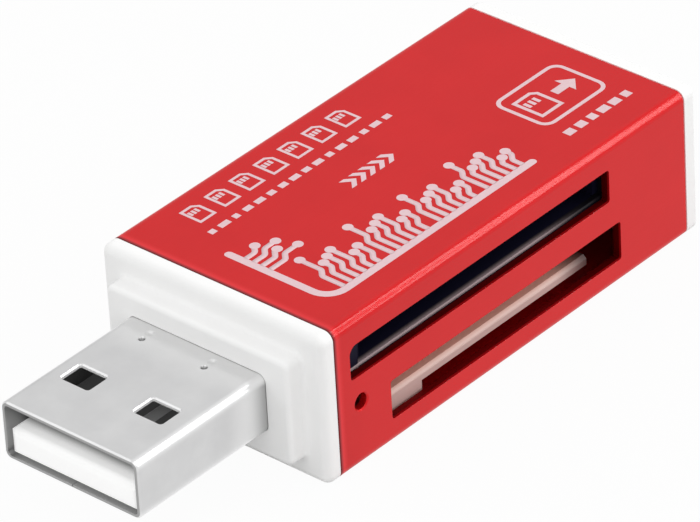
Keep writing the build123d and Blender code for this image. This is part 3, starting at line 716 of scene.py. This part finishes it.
ceramic, tree, shader = new_finish("tan_ceramic", Specular_IOR_Level=0.4)
fired = effect(tree, "surface_noise", Grain=0.25, Detail=2.0)
tree.links.new(shade(tree, fired, (0.40, 0.26, 0.15), (0.52, 0.36, 0.22)), shader["Base Color"])
tree.links.new(between(tree, fired, 0.40, 0.60), shader["Roughness"])
wear("capacitors", ceramic)

lamp_resin, tree, shader = new_finish("lamp_resin", Specular_IOR_Level=0.5)
swirl = effect(tree, "surface_noise", Grain=0.5, Detail=2.0)
tree.links.new(shade(tree, swirl, (0.10, 0.008, 0.008), (0.18, 0.02, 0.02)), shader["Base Color"])
tree.links.new(between(tree, swirl, 0.08, 0.18), shader["Roughness"])
wear("activity_led", lamp_resin)

# %% [markdown]
# ## The print: ink on the sleeve
# The top of the sleeve is screen printed in one pale ink, a layer about a hundredth of a millimetre
# thick. A mask in the sleeve's finish could draw it too, but ink that is its own thin piece keeps crisp
# edges at any size. The ink is matte and a little see-through, so some of the red tints it.

# %% Ink
ink_low = (0.66, 0.45, 0.48)
ink_high = (0.80, 0.60, 0.63)

ink, tree, shader = new_finish("pale_ink", Metallic=0.1, Specular_IOR_Level=0.4)
mesh_marks = effect(tree, "surface_noise", Grain=0.22, Detail=2.0)
thin_places = effect(tree, "surface_noise", Grain=1.6, Detail=3.0)
cover = reckon(tree, "MULTIPLY", reckon(tree, "ADD", mesh_marks, thin_places), 0.5)
tree.links.new(shade(tree, cover, ink_low, ink_high), shader["Base Color"])
tree.links.new(between(tree, mesh_marks, 0.35, 0.50), shader["Roughness"])
print("ink:", ink.name)

# %% [markdown]
# ## Drawing in ink
# Shapes are drawn flat, in millimetres, as closed loops. Straight outlines are short lists of points, and
# round stretches come from one function that walks along an arc, so a corner keeps its radius when a
# shape is resized.


# %% Loops
def arc(x, y, radius, first, last, steps=8):
    """Points on an arc round x, y; first and last count quarter turns."""
    turns = [math.pi / 2 * (first + (last - first) * step / steps) for step in range(steps + 1)]
    return [(x + radius * math.cos(turn), y + radius * math.sin(turn)) for turn in turns]


def rounded(x0, y0, x1, y1, radius):
    """A loop round a rectangle with rounded corners."""
    loop = []
    middles = ((x1 - radius, y1 - radius), (x0 + radius, y1 - radius),
               (x0 + radius, y0 + radius), (x1 - radius, y0 + radius))
    for quarter, (x, y) in enumerate(middles):
        loop += arc(x, y, radius, quarter, quarter + 1, steps=5)
    return loop


# %% [markdown]
# ## From loops to closed shells
# A two-dimensional curve fills the loops, turns a loop inside another into a hole and gives them
# thickness, which is shorter than building each face by hand. The result is taken as a plain mesh and
# welded into closed shells, and the object that made it is removed.

# %% Mesh helpers
INK_MM = 0.012
INK_SINK_MM = 0.004
INK_THICK_MM = INK_MM + INK_SINK_MM
WELD_MM = 0.0005


def host_of(name, data):
    """An object that only lives until its result has been taken."""
    host = bpy.data.objects.new(name + "_host", data)
    bpy.context.scene.collection.objects.link(host)
    return host


def taken(host):
    """The host's evaluated result as a plain mesh of welded, outward-facing shells; the host goes."""
    mesh = bpy.data.meshes.new_from_object(host.evaluated_get(bpy.context.evaluated_depsgraph_get()))
    bpy.data.objects.remove(host)
    shape = bmesh.new()
    shape.from_mesh(mesh)
    bmesh.ops.remove_doubles(shape, verts=shape.verts, dist=WELD_MM)
    bmesh.ops.recalc_face_normals(shape, faces=shape.faces)
    shape.to_mesh(mesh)
    open_edges = sum(len(edge.link_faces) != 2 for edge in shape.edges)
    shape.free()
    print("open edges:", open_edges)
    return mesh


def drawn_shape(name, loops):
    """A mesh in millimetres, as thick as the ink, from flat loops."""
    flat = bpy.data.curves.new(name, "CURVE")
    flat.dimensions = "2D"
    flat.fill_mode = "BOTH"
    flat.extrude = INK_THICK_MM / 2
    for loop in loops:
        spline = flat.splines.new("POLY")
        spline.points.add(len(loop) - 1)
        for point, (x, y) in zip(spline.points, loop):
            point.co = (x, y, 0.0, 1.0)
        spline.use_cyclic_u = True
    return taken(host_of(name, flat))


# %% [markdown]
# ## A piece of ink
# A drawn mesh is lifted to the top of the sleeve, sunk into it a little so that no gap shows, and scaled
# to metres once. Moving the object instead would work in a picture, but its place belongs in its mesh, as
# it does for the solids.

# %% Ink pieces
INK_MIDDLE_MM = ends_mm("sleeve", 2)[1] + (INK_MM - INK_SINK_MM) / 2


def ink_piece(name, mesh):
    """Puts a drawn mesh on the sleeve as a piece of its own."""
    mesh.name = name
    mesh.materials.clear()
    mesh.materials.append(ink)
    mesh.transform(Matrix.Translation((0.0, 0.0, INK_MIDDLE_MM)))
    mesh.transform(Matrix.Scale(MM, 4))
    piece = bpy.data.objects.new(name, mesh)
    bpy.context.scene.collection.objects.link(piece)
    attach(piece, "root")
    print(name, "has", len(mesh.polygons), "faces")
    return piece


# %% [markdown]
# ## The badge: a card going into a frame
# At the rear of the top sits a badge: a rounded frame with a card and an arrow. Each is drawn as loops.
# The card is a function of its place and size, because the row of marks below draws it again.

# %% Card outline
CARD_BEVEL_MM = 0.45
INNER_BEVEL = 0.6
CONTACTS_ACROSS = (0.24, 0.44, 0.64)
CONTACTS_UP = (0.52, 0.76)


def card_loops(x, y, width, height, stroke):
    """The loops of a card drawn as an outline with one cut corner and three contacts."""
    loops = []
    for inset in (0.0, stroke):
        cut = CARD_BEVEL_MM - INNER_BEVEL * inset
        left, low = x + inset, y + inset
        right, top = x + width - inset, y + height - inset
        loops.append([(left, low), (right, low), (right, top - cut), (right - cut, top), (left, top)])
    low, top = [y + share * height for share in CONTACTS_UP]
    for share in CONTACTS_ACROSS:
        left = x + share * width - stroke / 2
        right = left + stroke
        loops.append([(left, low), (right, low), (right, top), (left, top)])
    return loops


# %% Badge
BADGE_LOW_MM = (16.15, -5.1)
BADGE_HIGH_MM = (22.95, -0.1)
BADGE_STROKE_MM = 0.3
BADGE_CORNERS_MM = (0.9, 0.65)
BADGE_CARD_MM = {"x": 17.0, "y": -4.0, "width": 2.3, "height": 2.8, "stroke": 0.28}
ARROW_X_MM = (19.9, 21.1, 22.15)
ARROW_Y_MM = -2.6
ARROW_SHAFT_MM = 0.35
ARROW_HEAD_MM = 0.95

tail, neck, point = ARROW_X_MM
half_arrow = [(tail, ARROW_SHAFT_MM), (neck, ARROW_SHAFT_MM), (neck, ARROW_HEAD_MM)]
arrow = [(x, ARROW_Y_MM - y) for x, y in half_arrow]
arrow.append((point, ARROW_Y_MM))
arrow += [(x, ARROW_Y_MM + y) for x, y in reversed(half_arrow)]
badge = []
for inset, corner in zip((0.0, BADGE_STROKE_MM), BADGE_CORNERS_MM):
    low = [edge + inset for edge in BADGE_LOW_MM]
    high = [edge - inset for edge in BADGE_HIGH_MM]
    badge.append(rounded(*low, *high, corner))
badge.append(arrow)
ink_piece("print_badge", drawn_shape("badge", badge + card_loops(**BADGE_CARD_MM)))

# %% [markdown]
# ## Rows: the same mark again and again
# A row of cards and a row of chevrons repeat one mark, so a geometry tree places it along a line. Copies
# made in a loop would work as well, but the tree has its count and step as inputs and serves every row.

# %% Row tree
row, given, made = effect_group(
    "row_of_marks",
    [("Mark", "NodeSocketObject", None), ("Count", "NodeSocketInt", 3), ("Step", "NodeSocketFloat", 1.0),
     ("Ink", "NodeSocketMaterial", None)],
    [("Geometry", "NodeSocketGeometry")], kind="GeometryNodeTree")
mark = put(row, "GeometryNodeObjectInfo", {"Object": given["Mark"]})
step = put(row, "ShaderNodeCombineXYZ", {"X": given["Step"]})
line = put(row, "GeometryNodeMeshLine", {"Count": given["Count"], "Offset": step.outputs[0]}, mode="OFFSET")
copies = put(
    row, "GeometryNodeInstanceOnPoints",
    {"Points": line.outputs[0], "Instance": mark.outputs["Geometry"]})
solid = put(row, "GeometryNodeRealizeInstances", {"Geometry": copies.outputs[0]})
inked = put(row, "GeometryNodeSetMaterial", {"Geometry": solid.outputs[0], "Material": given["Ink"]})
row.links.new(inked.outputs[0], made.inputs["Geometry"])
print("row tree:", row.name)


# %% Row helpers
def grown(name, tree, values, source=None):
    """Runs a geometry tree once with these values and takes its result."""
    host = host_of(name, source or bpy.data.meshes.new(name + "_source"))
    modifier = host.modifiers.new("grow", "NODES")
    modifier.node_group = tree
    for socket in tree.interface.items_tree:
        if socket.in_out == "INPUT" and socket.name in values:
            modifier[socket.identifier] = values[socket.name]
    return taken(host)


def row_piece(name, loops, count, step_mm):
    """A row of one drawn mark."""
    mark = host_of(name, drawn_shape(name, loops))
    mesh = grown(name, row, {"Mark": mark, "Count": count, "Step": step_mm, "Ink": ink})
    bpy.data.objects.remove(mark)
    ink_piece(name, mesh)


# %% Rows of cards and chevrons
CARDS = 7
CARD_STEP_MM = 2.45
FIRST_CARD_MM = {"x": -6.6, "y": 5.9, "width": 1.6, "height": 2.0, "stroke": 0.22}
CHEVRONS = 5
CHEVRON_STEP_MM = 0.95

row_piece("print_cards", card_loops(**FIRST_CARD_MM), CARDS, CARD_STEP_MM)
chevron = [(2.6, 0.6), (3.1, 0.6), (3.7, 1.2), (3.1, 1.8), (2.6, 1.8), (3.2, 1.2)]
row_piece("print_chevrons", [chevron], CHEVRONS, CHEVRON_STEP_MM)

# %% [markdown]
# ## Dashes of many lengths
# Two fine rows of dashes fill out the print. They are only a pattern. A geometry tree gives each dash a
# length by chance, and a fixed seed keeps the same row every time.

# %% Dash tree
dashes, given, made = effect_group(
    "row_of_dashes",
    [("Start", "NodeSocketVector", (0.0, 0.0, 0.0)), ("Count", "NodeSocketInt", 3),
     ("Step", "NodeSocketFloat", 1.0), ("Shortest", "NodeSocketVector", (1.0, 1.0, 1.0)),
     ("Longest", "NodeSocketVector", (1.0, 1.0, 1.0)), ("Seed", "NodeSocketInt", 1),
     ("Ink", "NodeSocketMaterial", None)],
    [("Geometry", "NodeSocketGeometry")], kind="GeometryNodeTree")
step = put(dashes, "ShaderNodeCombineXYZ", {"X": given["Step"]})
line = put(
    dashes, "GeometryNodeMeshLine",
    {"Count": given["Count"], "Start Location": given["Start"], "Offset": step.outputs[0]}, mode="OFFSET")
length = put(
    dashes, "FunctionNodeRandomValue",
    {0: given["Shortest"], 1: given["Longest"], "Seed": given["Seed"]}, data_type="FLOAT_VECTOR")
brick = put(dashes, "GeometryNodeMeshCube", {"Size": (1.0, 1.0, 1.0)})
copies = put(
    dashes, "GeometryNodeInstanceOnPoints",
    {"Points": line.outputs[0], "Instance": brick.outputs[0], "Scale": length.outputs[0]})
solid = put(dashes, "GeometryNodeRealizeInstances", {"Geometry": copies.outputs[0]})
inked = put(dashes, "GeometryNodeSetMaterial", {"Geometry": solid.outputs[0], "Material": given["Ink"]})
dashes.links.new(inked.outputs[0], made.inputs["Geometry"])
print("dash tree:", dashes.name)

# %% Rows of dashes
dash_rows = {
    "print_dashes": {
        "Start": (-6.9, 4.6, 0.0), "Count": 16, "Step": 1.18, "Seed": 5,
        "Shortest": (0.45, 0.5, INK_THICK_MM), "Longest": (0.95, 0.5, INK_THICK_MM)},
    "print_badge_dashes": {
        "Start": (16.7, -6.6, 0.0), "Count": 6, "Step": 1.2, "Seed": 11,
        "Shortest": (0.5, 0.7, INK_THICK_MM), "Longest": (1.0, 0.7, INK_THICK_MM)}}
for name, values in dash_rows.items():
    ink_piece(name, grown(name, dashes, {**values, "Ink": ink}))

# %% [markdown]
# ## The ornament: a comb of circuit traces
# Along the slots the print grows into an ornament. Its rail turns a rounded corner and runs on as an arm
# along the sleeve's front end, and traces leave both and bend once. Drawing each of them by hand would be
# slow to change, so they are polylines from a rule: in every group the bends step down, and the lengths
# take turns so that no two pads meet.

# %% Trace routes
RAIL_Y_MM = -6.95
RAIL_HALF_MM = 0.31
ARM_X_MM = -8.3
OVERLAP_MM = 0.02
ROOT_MM = RAIL_HALF_MM - OVERLAP_MM
GROUPS = 4
GROUP_START_MM = -6.58
GROUP_STEP_MM = 4.88
TRACES = 6
TRACE_STEP_MM = 0.72
SIDESTEP_MM = 0.55
TRACE_BEND_MM = 1.9
TRACE_BEND_DROP_MM = 0.26
ODD_GROUP_MM = 0.3
TRACE_TOPS_MM = (1.9, 0.7, 1.3)
GROUP_DROP_MM = 0.25
ARM_TRACES = 4
ARM_START_MM = -1.5
ARM_BEND_MM = 1.5
ARM_BEND_DROP_MM = 0.2
ARM_TOPS_MM = (1.3, 0.35)
ARM_TOP_DROP_MM = 0.1

routes = []
for place in range(GROUPS * TRACES):
    group_place, k = divmod(place, TRACES)
    x = GROUP_START_MM + group_place * GROUP_STEP_MM + k * TRACE_STEP_MM
    bend = TRACE_BEND_MM - TRACE_BEND_DROP_MM * k + ODD_GROUP_MM * (group_place % 2)
    tall = bend + SIDESTEP_MM + TRACE_TOPS_MM[k % len(TRACE_TOPS_MM)] - GROUP_DROP_MM * group_place
    rise = ((0.0, 0.0), (0.0, bend), (SIDESTEP_MM, bend + SIDESTEP_MM), (SIDESTEP_MM, tall))
    routes.append([(x + px, RAIL_Y_MM + ROOT_MM + py, 0.0) for px, py in rise])
for k in range(ARM_TRACES):
    y = ARM_START_MM + k * TRACE_STEP_MM
    bend = ARM_BEND_MM - ARM_BEND_DROP_MM * k
    far = bend + SIDESTEP_MM + ARM_TOPS_MM[k % len(ARM_TOPS_MM)] - ARM_TOP_DROP_MM * k
    rise = ((0.0, 0.0), (bend, 0.0), (bend + SIDESTEP_MM, SIDESTEP_MM), (far, SIDESTEP_MM))
    routes.append([(ARM_X_MM + ROOT_MM + px, y + py, 0.0) for px, py in rise])
points = [point for route in routes for point in route]
edges = [(i, i + 1) for i in range(len(points)) if (i + 1) % len(rise)]
comb = bpy.data.meshes.new("trace_paths")
comb.from_pydata(points, edges, [])
print("traces:", len(routes))

# %% [markdown]
# ## Bars and pads
# The tree rounds the bends, sweeps a flat bar along each trace and sets a pad on its free end. Sweeping
# every bar by hand would repeat the same work for each of them. A pad is a little thicker than its bar,
# so the two share no face. The ends that touch the rail or the arm get none, because only ends clear of
# both are selected.

# %% Trace tree
PAD_SIDES = 20
PAD_RISE = 1.5

traces, given, made = effect_group(
    "traces_with_pads",
    [("Geometry", "NodeSocketGeometry", None), ("Width", "NodeSocketFloat", 0.3),
     ("Thickness", "NodeSocketFloat", 0.1), ("Pad", "NodeSocketFloat", 0.4), ("Rail", "NodeSocketFloat", 0.0),
     ("Arm", "NodeSocketFloat", 0.0), ("Ink", "NodeSocketMaterial", None)],
    [("Geometry", "NodeSocketGeometry")], kind="GeometryNodeTree")
paths = put(traces, "GeometryNodeMeshToCurve", {"Mesh": given["Geometry"]})
bends = put(
    traces, "GeometryNodeFilletCurve",
    {"Curve": paths.outputs[0], "Radius": given["Width"], "Limit Radius": True, "Count": 4}, mode="POLY")
flat = put(traces, "GeometryNodeSetCurveNormal", {"Curve": bends.outputs[0]}, mode="Z_UP")
section = put(
    traces, "GeometryNodeCurvePrimitiveQuadrilateral",
    {"Width": given["Width"], "Height": given["Thickness"]})
bars = put(
    traces, "GeometryNodeCurveToMesh",
    {"Curve": flat.outputs[0], "Profile Curve": section.outputs[0], "Fill Caps": True})
spot = put(traces, "GeometryNodeInputPosition").outputs[0]
spot = put(traces, "ShaderNodeSeparateXYZ", {0: spot}).outputs
free = put(traces, "GeometryNodeCurveEndpointSelection", {"Start Size": 1, "End Size": 1}).outputs[0]
for place, limit in ((spot["Y"], given["Rail"]), (spot["X"], given["Arm"])):
    off = put(traces, "FunctionNodeCompare", {0: place, 1: limit}, operation="GREATER_THAN").outputs[0]
    free = put(traces, "FunctionNodeBooleanMath", {0: free, 1: off}, operation="AND").outputs[0]
taller = reckon(traces, "MULTIPLY", given["Thickness"], PAD_RISE)
pad = put(
    traces, "GeometryNodeMeshCylinder", {"Vertices": PAD_SIDES, "Radius": given["Pad"], "Depth": taller})
pads = put(
    traces, "GeometryNodeInstanceOnPoints",
    {"Points": flat.outputs[0], "Selection": free, "Instance": pad.outputs[0]})
both = put(traces, "GeometryNodeJoinGeometry")
for part in (bars, pads):
    traces.links.new(part.outputs[0], both.inputs[0])
solid = put(traces, "GeometryNodeRealizeInstances", {"Geometry": both.outputs[0]})
inked = put(traces, "GeometryNodeSetMaterial", {"Geometry": solid.outputs[0], "Material": given["Ink"]})
traces.links.new(inked.outputs[0], made.inputs["Geometry"])
print("trace tree:", traces.name)

# %% Traces
BAR_MM = 0.42
PAD_MM = 0.39
PAD_FREE_MM = 0.6

ornament = grown("print_traces", traces, {
    "Width": BAR_MM, "Thickness": INK_THICK_MM, "Pad": PAD_MM, "Rail": RAIL_Y_MM + PAD_FREE_MM,
    "Arm": ARM_X_MM + PAD_FREE_MM, "Ink": ink}, comb)
ink_piece("print_traces", ornament)

# %% [markdown]
# ## The rail
# The rail is one loop of four arcs: round the outer corner, round the far end, back round the inner
# corner and over the arm's tip. A swept bar would do as well, but then its ends would be square.

# %% Rail
RAIL_END_MM = 12.3
ARM_END_MM = 1.9
CORNER_MM = 1.5

turn_x, turn_y = ARM_X_MM + CORNER_MM, RAIL_Y_MM + CORNER_MM
rail = arc(turn_x, turn_y, CORNER_MM + RAIL_HALF_MM, 2, 3)
rail += arc(RAIL_END_MM, RAIL_Y_MM, RAIL_HALF_MM, 3, 5)
rail += arc(turn_x, turn_y, CORNER_MM - RAIL_HALF_MM, 3, 2)
rail += arc(ARM_X_MM, ARM_END_MM, RAIL_HALF_MM, 0, 2)
ink_piece("print_rail", drawn_shape("rail", [rail]))
